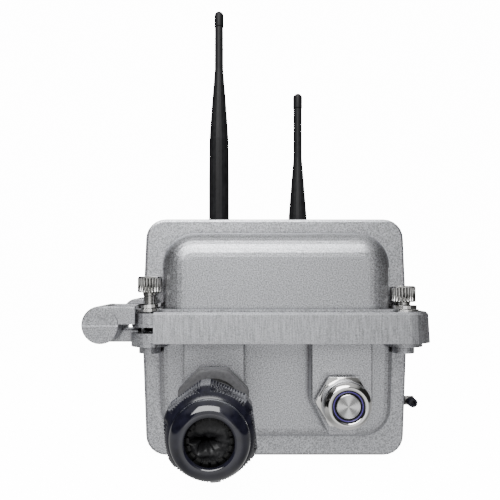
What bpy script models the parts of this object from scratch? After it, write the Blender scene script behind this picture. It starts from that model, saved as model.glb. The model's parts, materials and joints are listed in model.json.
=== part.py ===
"""Outdoor wireless bridge: a hinged die-cast case with a cable gland, a push button and two stub antennas.

Metres, +Z up. The origin is the centre of the case's flat underside, and -Y is the end with the gland.
"""

from math import cos, pi, radians, sin

import bmesh
import bpy
from mathutils import Matrix, Vector

MM = 0.001
GAP = 0.3 * MM
ARC_STEPS = 6

# Case: the two castings meet at the parting plane.
PARTING_Z = 53.5 * MM
LID_RIM_Z = 54.1 * MM
BASE_BOTTOM_Z = 0.0
LID_TOP_Z = 101.0 * MM
MAIN_HALF_X = 56.7 * MM
MAIN_END_HALF_X = 55.1 * MM
MAIN_HALF_Y = 39.8 * MM
MAIN_CORNER_R = 8.5 * MM
WALL = 3.3 * MM

LID_BUMP_HALF_X = 47.3 * MM
LID_BUMP_TOP_Z = 94.7 * MM
LID_BUMP_Y = 53.0 * MM
LID_BUMP_CORNER_R = 13.6 * MM
BASE_BUMP_CORNER_R = 12.0 * MM
LID_BUMP_FILLET = 10.5 * MM
LID_STEP_Z = 63.3 * MM
LID_STEP_Y = 55.2 * MM
LID_CAVITY_X = 44.1 * MM
LID_CAVITY_Y = 49.2 * MM

BASE_BUMP_HALF_X = 49.2 * MM
BASE_BUMP_BOTTOM_Z = 9.5 * MM
BASE_BUMP_Y = 46.0 * MM
BASE_BUMP_FILLET = 4.0 * MM

# Ports: two at each end, on raised pads.
PORT_X = 25.6 * MM
PORT_Z = 27.0 * MM
PAD_Y = 53.0 * MM
PAD_HALF_X = 12.35 * MM
PAD_FOOT_HALF_X = 5.2 * MM
PAD_FOOT_Z = 13.2 * MM
PORT_WALL_Y = 43.0 * MM

# Flanges: a flat plate on each casting, and the lid's skirt over three sides of the joint.
PLATE_HALF_X = 59.6 * MM
PLATE_HALF_Y = 54.2 * MM
PLATE_CORNER_R = 7.6 * MM
BASE_PLATE_BOTTOM_Z = 49.9 * MM
LID_PLATE_Z = (56.0 * MM, 61.6 * MM)
SKIRT_HALF = (62.6 * MM, 57.5 * MM)
SKIRT_Z = (49.9 * MM, 62.25 * MM)
SKIRT_CORNER_R = 10.6 * MM
SKIRT_WALL = 2.45 * MM
SKIRT_DRAFT = 0.7 * MM
SKIRT_END_X = -49.4 * MM

# Cover screws at the corners.
SCREW_X = 52.2 * MM
SCREW_Y = 46.5 * MM
EAR_BOTTOM_Z = 48.0 * MM
BOSS_BOTTOM_Z = 45.1 * MM
BOSS_R = 4.5 * MM
SCREW_NECK_R = 2.3 * MM
SCREW_THREAD_R = 3.0 * MM
SCREW_HEAD_R = 5.0 * MM
SCREW_HEAD_H = 6.6 * MM
SCREW_SHANK = 15.1 * MM
HEAD_BACKED_OUT_Z = 69.9 * MM
HEAD_NEARLY_DOWN_Z = 66.0 * MM
SPOT_FACE_R = 6.7 * MM
RING_SEAT_Z = 60.1 * MM

# Hinge: pins along Y outside the -X wall.
HINGE_X = -70.7 * MM
HINGE_Z = 57.1 * MM
KNUCKLE_R = 7.6 * MM
PIN_R = 2.0 * MM
LID_ARM_Z = (57.4 * MM, 64.6 * MM)
BASE_ARM_Z = (49.6 * MM, 55.0 * MM)
KNUCKLE_EDGE = 0.6 * MM
LID_KNUCKLES = (
    (-55.2 * MM, -48.5 * MM),
    (-38.6 * MM, -31.6 * MM),
    (25.5 * MM, 32.5 * MM),
    (42.4 * MM, 49.4 * MM),
)
BASE_KNUCKLES = (
    (-48.1 * MM, -39.0 * MM),
    (32.9 * MM, 42.0 * MM),
)
HALF_FACE_Y = -55.6 * MM
PINS = {
    "hinge_pin_front": (-53.2 * MM, -32.0 * MM),
    "hinge_pin_rear": (27.8 * MM, 49.0 * MM),
}

# Antennas: the whips stand on the far ports.
WHIP_Y = 72.8 * MM
WHIP_R = 6.5 * MM
PIVOT_R = 6.3 * MM
TONGUE_HALF = 3.2 * MM

# Ground fitting on the +X wall.
GROUND_Y = -30.0 * MM
GROUND_Z = 21.4 * MM
GROUND_TIP_X = 62.8 * MM
GROUND_SCREW_X = 60.7 * MM

# Cable gland. Heights run out from the pad along the gland's axis.
GLAND_THREAD_R = 10.0 * MM
GLAND_NUT_ACROSS = 27.2 * MM
CAP_REACH = 14.2 * MM
CAP_CORNER_R = 15.5 * MM
CAP_TURN = 6.4
CLAW_TEETH = 18

# Push button.
BUTTON_THREAD_R = 7.9 * MM
BUTTON_NUT_ACROSS = 19.4 * MM

# Circuit board.
BOARD_Z = (9.0 * MM, 10.6 * MM)
BOARD_HALF = (48.0 * MM, 34.0 * MM)
FLOOR_Z = 3.5 * MM


# ---------------------------------------------------------------- materials


def material(name, colour, roughness, metallic):
    made = bpy.data.materials.get(name) or bpy.data.materials.new(name)
    made.use_nodes = True
    shader = made.node_tree.nodes["Principled BSDF"]
    shader.inputs["Base Color"].default_value = (*colour, 1.0)
    shader.inputs["Roughness"].default_value = roughness
    shader.inputs["Metallic"].default_value = metallic
    made.diffuse_color = (*colour, 1.0)
    return made


def make_materials():
    return {
        "cast": material("cast_aluminium", (0.42, 0.43, 0.44), 0.45, 0.6),
        "steel": material("stainless_steel", (0.6, 0.59, 0.57), 0.25, 1.0),
        "nickel": material("nickel_plate", (0.62, 0.6, 0.56), 0.2, 1.0),
        "nylon": material("black_nylon", (0.02, 0.02, 0.023), 0.3, 0.0),
        "dull_nylon": material("grey_nylon", (0.1, 0.1, 0.105), 0.6, 0.0),
        "rubber": material("black_rubber", (0.03, 0.03, 0.032), 0.7, 0.0),
        "whip": material("antenna_rubber", (0.028, 0.028, 0.034), 0.6, 0.0),
        "violet": material("violet_light", (0.35, 0.28, 0.7), 0.3, 0.0),
        "board": material("circuit_board", (0.02, 0.16, 0.07), 0.5, 0.0),
        "tin": material("tinned_steel", (0.6, 0.6, 0.6), 0.3, 1.0),
        "brass": material("brass", (0.7, 0.5, 0.2), 0.3, 1.0),
        "coax": material("coax_jacket", (0.25, 0.14, 0.08), 0.5, 0.0),
    }


# ---------------------------------------------------------------- mesh helpers


def clear_scene():
    for found in list(bpy.data.objects):
        bpy.data.objects.remove(found, do_unlink=True)


def group(name, location, rotation=(0.0, 0.0, 0.0), parent=None):
    empty = bpy.data.objects.new(name, None)
    bpy.context.scene.collection.objects.link(empty)
    empty.location = location
    empty.rotation_euler = rotation
    empty.parent = parent
    return empty


def solid(name, points, faces, surface=None, location=(0.0, 0.0, 0.0), parent=None):
    """A mesh object with outward normals, smooth on its round faces."""
    mesh = bpy.data.meshes.new(name)
    mesh.from_pydata([tuple(point) for point in points], [], faces)
    work = bmesh.new()
    work.from_mesh(mesh)
    bmesh.ops.remove_doubles(work, verts=work.verts, dist=1e-7)
    bmesh.ops.recalc_face_normals(work, faces=work.faces)
    work.to_mesh(mesh)
    work.free()
    made = bpy.data.objects.new(name, mesh)
    bpy.context.scene.collection.objects.link(made)
    made.location = location
    made.parent = parent
    if surface:
        mesh.materials.append(surface)
        mesh.shade_smooth()
        mesh.set_sharp_from_angle(angle=radians(35))
    return made


def loft(name, rings, surface=None, **place):
    """Joins rings of equally many points and closes both ends."""
    count = len(rings[0])
    points = [point for ring in rings for point in ring]
    faces = [list(range(count)), list(range(len(points) - count, len(points)))]
    for level in range(len(rings) - 1):
        for i in range(count):
            j = (i + 1) % count
            low = level * count
            faces.append((low + i, low + j, low + count + j, low + count + i))
    return solid(name, points, faces, surface, **place)


def turned(name, profile, segments, surface=None, **place):
    """Turns (radius, height) points about Z. A profile that leaves the axis alone is closed into a ring."""
    hollow = all(radius > 0 for radius, _ in profile)
    points = []
    for radius, height in profile:
        for step in range(segments if radius > 0 else 1):
            angle = 2 * pi * step / segments
            points.append((radius * cos(angle), radius * sin(angle), height))
    starts = [0]
    for radius, _ in profile:
        starts.append(starts[-1] + (segments if radius > 0 else 1))
    pairs = [(i, i + 1) for i in range(len(profile) - 1)]
    if hollow:
        pairs.append((len(profile) - 1, 0))
    faces = []
    for low, high in pairs:
        for i in range(segments):
            j = (i + 1) % segments
            corners = []
            for ring, order in ((low, (i, j)), (high, (j, i))):
                if profile[ring][0] > 0:
                    corners += [starts[ring] + k for k in order]
                else:
                    corners.append(starts[ring])
            faces.append(corners)
    return solid(name, points, faces, surface, **place)


def tube(name, inner, outer, low, high, segments, surface=None, edge=0.0, **place):
    profile = [(inner, low), (outer, low), (outer, high - edge), (outer - edge, high), (inner, high)]
    if not edge:
        profile.pop(3)
    return turned(name, profile, segments, surface, **place)


def rod(name, radius, low, high, segments, surface=None, edge=0.0, **place):
    profile = [(0, low), (radius, low), (radius, high - edge), (radius - edge, high), (0, high)]
    if not edge:
        profile.pop(3)
    return turned(name, profile, segments, surface, **place)


def prism(name, outline, low, high, surface=None, **place):
    """Extrudes an outline in x and y from one height to another."""
    rings = [[(x, y, height) for x, y in outline] for height in (low, high)]
    return loft(name, rings, surface, **place)


def box(name, x, y, z, surface=None, **place):
    return prism(name, [(x[0], y[0]), (x[1], y[0]), (x[1], y[1]), (x[0], y[1])], z[0], z[1], surface, **place)


def polygon(across_flats, sides, turn=0.0):
    radius = across_flats / 2 / cos(pi / sides)
    angles = [radians(turn) + 2 * pi * (i + 0.5) / sides for i in range(sides)]
    return [(radius * cos(angle), radius * sin(angle)) for angle in angles]


def rounded(half_x, half_y, radius, steps=ARC_STEPS):
    """A rounded rectangle about the origin, in x and y."""
    points = []
    for start, x, y in ((0, 1, 1), (90, -1, 1), (180, -1, -1), (270, 1, -1)):
        for step in range(steps + 1):
            angle = radians(start + 90 * step / steps)
            across = x * (half_x - radius) + radius * cos(angle)
            points.append((across, y * (half_y - radius) + radius * sin(angle)))
    return points


def arch(half_open, half_far, z_open, z_far, radius, inset=0.0, steps=ARC_STEPS):
    """An outline in x and z: straight at its open end, drafted sides and two round far corners."""
    way = 1 if z_far > z_open else -1
    far = z_far - way * inset
    bend = max(radius - inset, 0.5 * MM)
    points = [(inset - half_open, z_open)]
    for side, start in ((-1, 180), (1, 90)):
        for step in range(steps + 1):
            angle = radians(start - 90 * step / steps)
            across = side * (half_far - inset - bend) + bend * cos(angle)
            points.append((across, far - way * bend * (1 - sin(angle))))
    points.append((half_open - inset, z_open))
    return points


def arched_block(name, half_y, fillet, shape, steps=ARC_STEPS, corner_steps=ARC_STEPS):
    """An arch extruded through both ends along Y, with the edges of both end faces rounded by fillet."""
    rings = []
    for side in (-1, 1):
        angles = [radians(90 * step / steps) for step in range(steps + 1)]
        for angle in angles if side == 1 else reversed(angles):
            y = side * (half_y - fillet * (1 - sin(angle)))
            outline = arch(*shape, inset=fillet * (1 - cos(angle)), steps=corner_steps)
            rings.append([(x, y, z) for x, z in outline])
    return loft(name, rings)


def combine(target, operation, tools):
    """Applies one Boolean after another and removes the tools."""
    for tool in tools:
        tool.hide_render = True
        tool.display_type = "WIRE"
        modifier = target.modifiers.new(operation.title(), "BOOLEAN")
        modifier.operation = operation
        modifier.solver = "EXACT"
        modifier.object = tool
    bpy.context.view_layer.update()
    graph = bpy.context.evaluated_depsgraph_get()
    mesh = bpy.data.meshes.new_from_object(target.evaluated_get(graph))
    target.modifiers.clear()
    target.data = mesh
    for tool in tools:
        bpy.data.objects.remove(tool, do_unlink=True)


def finish_casting(target, surface):
    """Gives a Boolean result its one material and smooth round faces."""
    target.data.materials.clear()
    target.data.materials.append(surface)
    target.data.shade_smooth()
    target.data.set_sharp_from_angle(angle=radians(30))


def corners():
    return [(x, y) for x in (-SCREW_X, SCREW_X) for y in (-SCREW_Y, SCREW_Y)]


# ---------------------------------------------------------------- castings


def plus_block(name, half_bump_x, half_bump_y, low, high):
    """The plan that both cavities and the gasket follow: the main body's rectangle crossed by the bumps'."""
    grow = half_bump_x - LID_CAVITY_X
    main = prism(name, rounded(MAIN_HALF_X - WALL + grow, MAIN_HALF_Y - WALL + grow, 5 * MM), low, high)
    bump = prism(name + "_bump", rounded(half_bump_x, half_bump_y, 4 * MM), low, high)
    combine(main, "UNION", [bump])
    return main


def pad(x, side):
    """A raised port pad: straight sides down to the port's axis, then a taper to its foot."""
    outline = [
        (x - PAD_HALF_X, PARTING_Z - MM),
        (x - PAD_HALF_X, PORT_Z),
        (x - PAD_FOOT_HALF_X, PAD_FOOT_Z),
        (x + PAD_FOOT_HALF_X, PAD_FOOT_Z),
        (x + PAD_HALF_X, PORT_Z),
        (x + PAD_HALF_X, PARTING_Z - MM),
    ]
    rings = []
    for depth, inset in ((PORT_WALL_Y + 0.5 * MM, 0.0), (PAD_Y - 0.6 * MM, 0.0), (PAD_Y, 0.6 * MM)):
        rings.append([(x + (px - x) * (1 - inset / PAD_HALF_X), side * depth, pz) for px, pz in outline])
    return loft("pad", rings)


def knuckle(name, span):
    """A hinge knuckle along Y with both rims chamfered."""
    low, high = span
    rim = KNUCKLE_R - KNUCKLE_EDGE
    profile = [(0, low), (rim, low), (KNUCKLE_R, low + KNUCKLE_EDGE)]
    profile += [(KNUCKLE_R, high - KNUCKLE_EDGE), (rim, high), (0, high)]
    body = turned(name, profile, 30)
    body.rotation_euler = (radians(-90), 0, 0)
    body.location = (HINGE_X, 0, HINGE_Z)
    return body


def proud_half():
    """The lower half of the front knuckle's face stands proud of the upper half."""
    edge = 0.3 * MM
    rings = []
    for y, inset in ((LID_KNUCKLES[0][0] + 2 * MM, 0.0), (HALF_FACE_Y + edge, 0.0), (HALF_FACE_Y, edge)):
        radius = KNUCKLE_R - KNUCKLE_EDGE * 0.4 - inset
        top = HINGE_Z - 0.13 * MM - inset
        angles = [radians(180 + 180 * step / 14) for step in range(15)]
        rings.append([(HINGE_X + radius * cos(a), y, top + radius * sin(a)) for a in angles])
    return loft("proud_half", rings)


def pin_hole(span):
    hole = rod("pin_hole", PIN_R + GAP, span[0] - GAP, span[1] + 3 * MM, 16)
    hole.rotation_euler = (radians(-90), 0, 0)
    hole.location = (HINGE_X, 0, HINGE_Z)
    return hole


def arm(span, height):
    """A bar from the hinge axis to the plate, with its upper long edges chamfered."""
    edge = 0.7 * MM
    low, high = span[0] + 0.2 * MM, span[1] - 0.2 * MM
    outline = [(low, height[0]), (high, height[0]), (high, height[1] - edge)]
    outline += [(high - edge, height[1]), (low + edge, height[1]), (low, height[1] - edge)]
    return loft("arm", [[(x, y, z) for y, z in outline] for x in (HINGE_X, -PLATE_HALF_X + 2.6 * MM)])


def upright(name, radius, x, y, low, high, segments=24):
    return rod(name, radius, low, high, segments, location=(x, y, 0))


def through_y(name, radius, x, z, low, high, segments=32):
    made = rod(name, radius, low, high, segments)
    made.rotation_euler = (radians(-90), 0, 0)
    made.location = (x, 0, z)
    return made


def base_casting(surface):
    shape = (MAIN_HALF_X, MAIN_END_HALF_X, PARTING_Z, BASE_BOTTOM_Z, MAIN_CORNER_R)
    base = arched_block("base_casting", MAIN_HALF_Y, 1.2 * MM, shape, steps=2)
    bump = (BASE_BUMP_HALF_X, BASE_BUMP_HALF_X - 0.8 * MM, PARTING_Z - MM, BASE_BUMP_BOTTOM_Z, BASE_BUMP_CORNER_R)
    added = [arched_block("bump", BASE_BUMP_Y, BASE_BUMP_FILLET, bump, steps=4)]
    added += [pad(x, side) for x in (-PORT_X, PORT_X) for side in (-1, 1)]
    plate = rounded(PLATE_HALF_X, PLATE_HALF_Y, PLATE_CORNER_R)
    added.append(prism("plate", plate, BASE_PLATE_BOTTOM_Z, PARTING_Z))
    for x, y in corners():
        added.append(upright("ear", PLATE_CORNER_R, x, y, EAR_BOTTOM_Z, PARTING_Z - 0.2 * MM, 32))
        added.append(upright("boss", BOSS_R, x, y, BOSS_BOTTOM_Z, PARTING_Z - 0.4 * MM))
    for span in BASE_KNUCKLES:
        added.append(knuckle("knuckle", span))
        added.append(arm(span, BASE_ARM_Z))
    combine(base, "UNION", added)

    cavity = (MAIN_HALF_X - WALL, MAIN_END_HALF_X - WALL, PARTING_Z + MM, FLOOR_Z, MAIN_CORNER_R - 3 * MM)
    bump_cavity = (LID_CAVITY_X, LID_CAVITY_X, PARTING_Z + MM, BASE_BUMP_BOTTOM_Z + 3.2 * MM, 8 * MM)
    cut = [
        arched_block("cavity", MAIN_HALF_Y - WALL, 1.5 * MM, cavity, steps=2),
        arched_block("bump_cavity", PORT_WALL_Y, 1.5 * MM, bump_cavity, steps=2),
    ]
    combine(base, "DIFFERENCE", cut)
    combine(base, "DIFFERENCE", [gasket_ring("groove", 0.7 * MM, 3.1 * MM, 51.9 * MM, PARTING_Z + MM)])
    holes = [through_y("gland_hole", 10.3 * MM, -PORT_X, PORT_Z, -PAD_Y - MM, -PORT_WALL_Y + 2 * MM)]
    holes.append(through_y("button_hole", 8.2 * MM, PORT_X, PORT_Z, -PAD_Y - MM, -PORT_WALL_Y + 2 * MM))
    for x in (-PORT_X, PORT_X):
        holes.append(through_y("antenna_hole", 4.3 * MM, x, PORT_Z, PORT_WALL_Y - 2 * MM, PAD_Y + MM, 16))
    for x, y in corners():
        foot = BOSS_BOTTOM_Z + 1.2 * MM
        holes.append(upright("screw_hole", SCREW_THREAD_R + 0.45 * MM, x, y, foot, LID_TOP_Z, 20))
    holes += [pin_hole(span) for span in PINS.values()]
    holes.append(ground_hole())
    combine(base, "DIFFERENCE", holes)
    standoffs = []
    for x in (-42 * MM, 42 * MM):
        for y in (-28 * MM, 28 * MM):
            standoffs.append(upright("standoff", 3.2 * MM, x, y, FLOOR_Z - MM, BOARD_Z[0] - GAP, 12))
    combine(base, "UNION", standoffs)
    finish_casting(base, surface)


def gasket_ring(name, inner, outer, low, high, surface=None):
    ring = plus_block(name, LID_CAVITY_X + outer, LID_CAVITY_Y + outer, low, high)
    hole = plus_block(name + "_hole", LID_CAVITY_X + inner, LID_CAVITY_Y + inner, low - MM, high + MM)
    combine(ring, "DIFFERENCE", [hole])
    if surface:
        finish_casting(ring, surface)
    return ring


def skirt():
    """The lid's skirt: it hides the joint on three sides and stops short of the hinge side."""
    rings = []
    for height, inset in ((SKIRT_Z[0], 0.0), (SKIRT_Z[1] - MM, SKIRT_DRAFT), (SKIRT_Z[1], SKIRT_DRAFT + MM)):
        outline = rounded(SKIRT_HALF[0] - inset, SKIRT_HALF[1] - inset, SKIRT_CORNER_R - inset)
        rings.append([(x, y, height) for x, y in outline])
    body = loft("skirt", rings)
    inner = rounded(SKIRT_HALF[0] - SKIRT_WALL, SKIRT_HALF[1] - SKIRT_WALL, SKIRT_CORNER_R - SKIRT_WALL)
    hollow = prism("hollow", inner, SKIRT_Z[0] - MM, LID_PLATE_Z[0] + 0.4 * MM)
    hinge_side = box("hinge_side", (-80 * MM, SKIRT_END_X), (-70 * MM, 70 * MM), (40 * MM, 70 * MM))
    combine(body, "DIFFERENCE", [hollow, hinge_side])
    return body


def lid_casting(surface, origin):
    shape = (MAIN_HALF_X, MAIN_END_HALF_X, LID_RIM_Z + 0.7 * MM, LID_TOP_Z, MAIN_CORNER_R)
    lid = arched_block("lid_casting", MAIN_HALF_Y, 1.2 * MM, shape, steps=2)
    bump = (LID_BUMP_HALF_X, LID_BUMP_HALF_X, LID_PLATE_Z[0] + 1.5 * MM, LID_BUMP_TOP_Z, LID_BUMP_CORNER_R)
    rim = (LID_CAVITY_X + 3.4 * MM, LID_CAVITY_Y + 3.4 * MM)
    plate = rounded(PLATE_HALF_X, PLATE_HALF_Y, PLATE_CORNER_R)
    step = rounded(LID_BUMP_HALF_X + 1.4 * MM, LID_STEP_Y, 4 * MM)
    added = [
        arched_block("bump", LID_BUMP_Y, LID_BUMP_FILLET, bump, steps=9, corner_steps=9),
        plus_block("rim", *rim, LID_RIM_Z, LID_PLATE_Z[0] + MM),
        prism("plate", plate, *LID_PLATE_Z),
        prism("step", step, LID_PLATE_Z[0] + MM, LID_STEP_Z),
        skirt(),
    ]
    for span in LID_KNUCKLES:
        added.append(knuckle("knuckle", span))
        added.append(arm(span, LID_ARM_Z))
    added.append(proud_half())
    combine(lid, "UNION", added)

    cavity = (MAIN_HALF_X - WALL, MAIN_END_HALF_X - WALL, LID_RIM_Z - MM, LID_TOP_Z - 3.5 * MM, 5.5 * MM)
    bump_cavity = (LID_CAVITY_X, LID_CAVITY_X, LID_RIM_Z - MM, LID_BUMP_TOP_Z - WALL, 10.2 * MM)
    cut = [
        arched_block("cavity", MAIN_HALF_Y - WALL, 1.5 * MM, cavity, steps=2),
        arched_block("bump_cavity", LID_CAVITY_Y, 7.3 * MM, bump_cavity, steps=4),
    ]
    combine(lid, "DIFFERENCE", cut)
    holes = [pin_hole(span) for span in PINS.values()]
    for x, y in corners():
        holes.append(upright("spot_face", SPOT_FACE_R, x, y, LID_PLATE_Z[1], 80 * MM, 32))
        holes.append(upright("neck_hole", 2.75 * MM, x, y, LID_RIM_Z, LID_PLATE_Z[1] + MM, 20))
        holes.append(upright("counterbore", 3.7 * MM, x, y, LID_PLATE_Z[0] - MM, RING_SEAT_Z, 20))
    combine(lid, "DIFFERENCE", holes)
    finish_casting(lid, surface)
    lid.data.transform(Matrix.Translation(-origin.location))
    lid.parent = origin


def hinge_pins(surface):
    for name, (low, high) in PINS.items():
        pin = rod(name, PIN_R, low, high, 16, surface, edge=0.4 * MM)
        pin.rotation_euler = (radians(-90), 0, 0)
        pin.location = (HINGE_X, 0, HINGE_Z)


# ---------------------------------------------------------------- cover screws


def cover_screw(name, x, y, head_z, surfaces, lid_group):
    """A captive socket-head screw with the retaining ring on its neck, and its two washers on the lid."""
    axis = group(name + "_axis", Vector((x, y, head_z)) - lid_group.location, parent=lid_group)
    tip = -SCREW_SHANK
    shoulder = tip + 4.0 * MM
    profile = [
        (0, tip),
        (SCREW_THREAD_R - 0.7 * MM, tip),
        (SCREW_THREAD_R, tip + 0.7 * MM),
        (SCREW_THREAD_R, shoulder),
        (SCREW_NECK_R, shoulder),
        (SCREW_NECK_R, -1.2 * MM),
        (2.9 * MM, -1.1 * MM),
        (2.9 * MM, 0),
        (SCREW_HEAD_R, 0),
        (SCREW_HEAD_R, SCREW_HEAD_H - 0.6 * MM),
        (SCREW_HEAD_R - 0.6 * MM, SCREW_HEAD_H),
        (0, SCREW_HEAD_H),
    ]
    screw = turned(name, profile, 18, surfaces["nickel"], parent=axis)
    socket = prism("socket", polygon(5 * MM, 6), SCREW_HEAD_H - 3.2 * MM, SCREW_HEAD_H + MM, parent=axis)
    combine(screw, "DIFFERENCE", [socket])
    ring = (SCREW_NECK_R + 0.15 * MM, 3.35 * MM, shoulder + 0.25 * MM, shoulder + 1.05 * MM)
    tube(name + "_retaining_ring", *ring, 16, surfaces["steel"], parent=axis)


def washers(name, x, y, tilt, surfaces, lid_group):
    """A flat washer and a split washer lying on the lid's ear, each tilted about Y."""
    flat_r, split_r = 6.2 * MM, 5.5 * MM
    flat_t, split_t = 1.1 * MM, 1.3 * MM
    flat_tilt, split_tilt = radians(tilt), radians(2 * tilt)
    flat_z = LID_PLATE_Z[1] + GAP + flat_r * sin(flat_tilt) + flat_t / 2
    split_z = flat_z + flat_t / 2 + GAP + split_r * sin(flat_tilt) + split_t / 2
    place = Vector((x, y, 0)) - lid_group.location
    flat = tube(name + "_flat_washer", 3.3 * MM, flat_r, -flat_t / 2, flat_t / 2, 24, surfaces["steel"])
    flat.location = place + Vector((0, 0, flat_z))
    flat.rotation_euler = (0, -flat_tilt, 0)
    flat.parent = lid_group
    split = split_ring(name + "_split_washer", 3.3 * MM, split_r, split_t, surfaces["steel"])
    split.location = place + Vector((0, 0, split_z))
    split.rotation_euler = (0, -split_tilt, radians(25))
    split.parent = lid_group


def split_ring(name, inner, outer, thickness, surface):
    """A spring washer: a flat ring with one narrow slanted gap."""
    steps = 22
    half = thickness / 2
    rings = []
    for step in range(steps + 1):
        angle = radians(6 + 348 * step / steps)
        section = [(inner, -half), (outer, -half), (outer, half), (inner, half)]
        rings.append([(radius * cos(angle), radius * sin(angle), height) for radius, height in section])
    return loft(name, rings, surface)


def cover_screws(surfaces, lid_group):
    """Both screws on the hinge side are backed out. Only the front one's washers lie askew."""
    names = {
        (-1, -1): "screw_front_left",
        (1, -1): "screw_front_right",
        (-1, 1): "screw_rear_left",
        (1, 1): "screw_rear_right",
    }
    for (side, end), name in names.items():
        head_z = HEAD_BACKED_OUT_Z if side < 0 else HEAD_NEARLY_DOWN_Z
        tilt = 3.0 if (side, end) == (-1, -1) else 0.0
        cover_screw(name, side * SCREW_X, end * SCREW_Y, head_z, surfaces, lid_group)
        washers(name, side * SCREW_X, end * SCREW_Y, tilt, surfaces, lid_group)


# ---------------------------------------------------------------- cable gland


def cable_gland(surfaces):
    """Built along its own Z, which points out of the front pad."""
    axis = group("gland_axis", (-PORT_X, -PAD_Y, PORT_Z), (radians(90), 0, 0))
    thread = GLAND_THREAD_R
    tube("gland_seal", thread + GAP, 12.8 * MM, GAP, 1.8 * MM, 24, surfaces["rubber"], parent=axis)
    outline = polygon(GLAND_NUT_ACROSS, 8)
    nut = prism("gland_nut", outline, 2.1 * MM, 9.3 * MM, surfaces["dull_nylon"], parent=axis)
    bore = rod("bore", thread + GAP, 0, 12 * MM, 32, parent=axis)
    combine(nut, "DIFFERENCE", [bore])
    body = [
        (7.0 * MM, -17 * MM),
        (thread - 0.6 * MM, -17 * MM),
        (thread, -16.4 * MM),
        (thread, 9.6 * MM),
        (14.0 * MM, 9.6 * MM),
        (14.0 * MM, 29.5 * MM),
        (14.9 * MM, 30.4 * MM),
        (15.05 * MM, 33.8 * MM),
        (14.5 * MM, 34.4 * MM),
        (12.3 * MM, 34.4 * MM),
        (12.3 * MM, 45.0 * MM),
        (11.2 * MM, 45.0 * MM),
        (11.2 * MM, 31.0 * MM),
        (7.0 * MM, 28.0 * MM),
    ]
    turned("gland_body", body, 32, surfaces["nylon"], parent=axis)
    outline = polygon(24 * MM, 6)
    locknut = prism("gland_locknut", outline, -14.7 * MM, -10.3 * MM, surfaces["nylon"], parent=axis)
    bore = rod("bore", thread + GAP, -20 * MM, 0, 32, parent=axis)
    combine(locknut, "DIFFERENCE", [bore])
    insert = [(3.0 * MM, 36 * MM), (9.2 * MM, 36 * MM), (9.2 * MM, 46.5 * MM), (7.2 * MM, 48.2 * MM)]
    insert += [(5.6 * MM, 49.4 * MM), (4.0 * MM, 49.4 * MM), (3.0 * MM, 48.6 * MM)]
    turned("gland_insert", insert, 20, surfaces["rubber"], parent=axis)
    gland_claw(surfaces, axis)
    gland_cap(surfaces, axis)


def gland_claw(surfaces, axis):
    """The clamping ring: a sleeve round the insert whose front edge is cut into inward teeth."""
    profile = [
        (9.5 * MM, 36.5 * MM),
        (10.9 * MM, 36.5 * MM),
        (10.9 * MM, 47.5 * MM),
        (8.6 * MM, 50.2 * MM),
        (6.9 * MM, 51.2 * MM),
        (6.1 * MM, 51.2 * MM),
        (6.1 * MM, 50.2 * MM),
        (9.5 * MM, 47.0 * MM),
    ]
    claw = turned("gland_claw", profile, 2 * CLAW_TEETH, surfaces["nylon"], parent=axis)
    slots = []
    for step in range(CLAW_TEETH):
        slot = box("slot", (4 * MM, 12 * MM), (-0.35 * MM, 0.35 * MM), (47.3 * MM, 52 * MM), parent=axis)
        slot.rotation_euler = (0, 0, 2 * pi * (step + 0.5) / CLAW_TEETH)
        slots.append(slot)
    combine(claw, "DIFFERENCE", slots)


def gland_cap(surfaces, axis):
    """The sealing cap: a hexagon, coned off towards a dome round its mouth."""
    outline = []
    for side in range(6):
        middle = radians(CAP_TURN + 60 * side)
        for turn in (-24.0, -12.0, 0.0, 12.0, 24.0):
            angle = radians(turn)
            radius = min(CAP_REACH / cos(angle), CAP_CORNER_R)
            outline.append((radius * cos(middle + angle), radius * sin(middle + angle)))
    cap = prism("gland_cap", outline, 34.7 * MM, 49.6 * MM, surfaces["nylon"], parent=axis)
    cone = [(0, 34 * MM), (16.5 * MM, 34 * MM), (16.5 * MM, 40.8 * MM), (12.0 * MM, 49.8 * MM), (0, 49.8 * MM)]
    combine(cap, "INTERSECT", [turned("cone", cone, 36, parent=axis)])
    dome = [(0, 45 * MM), (12.4 * MM, 45 * MM), (12.4 * MM, 49.4 * MM), (12.0 * MM, 50.8 * MM)]
    dome += [(11.0 * MM, 52.3 * MM), (9.4 * MM, 53.5 * MM), (8.2 * MM, 54.0 * MM), (0, 54.0 * MM)]
    combine(cap, "UNION", [turned("dome", dome, 36, parent=axis)])
    hollow = [(0, 34 * MM), (12.6 * MM, 34 * MM), (12.6 * MM, 47 * MM), (11.3 * MM, 49.6 * MM)]
    hollow += [(9.9 * MM, 51.6 * MM), (7.45 * MM, 52.4 * MM), (7.45 * MM, 56 * MM), (0, 56 * MM)]
    combine(cap, "DIFFERENCE", [turned("hollow", hollow, 36, parent=axis)])
    finish_casting(cap, surfaces["nylon"])


# ---------------------------------------------------------------- push button


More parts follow.
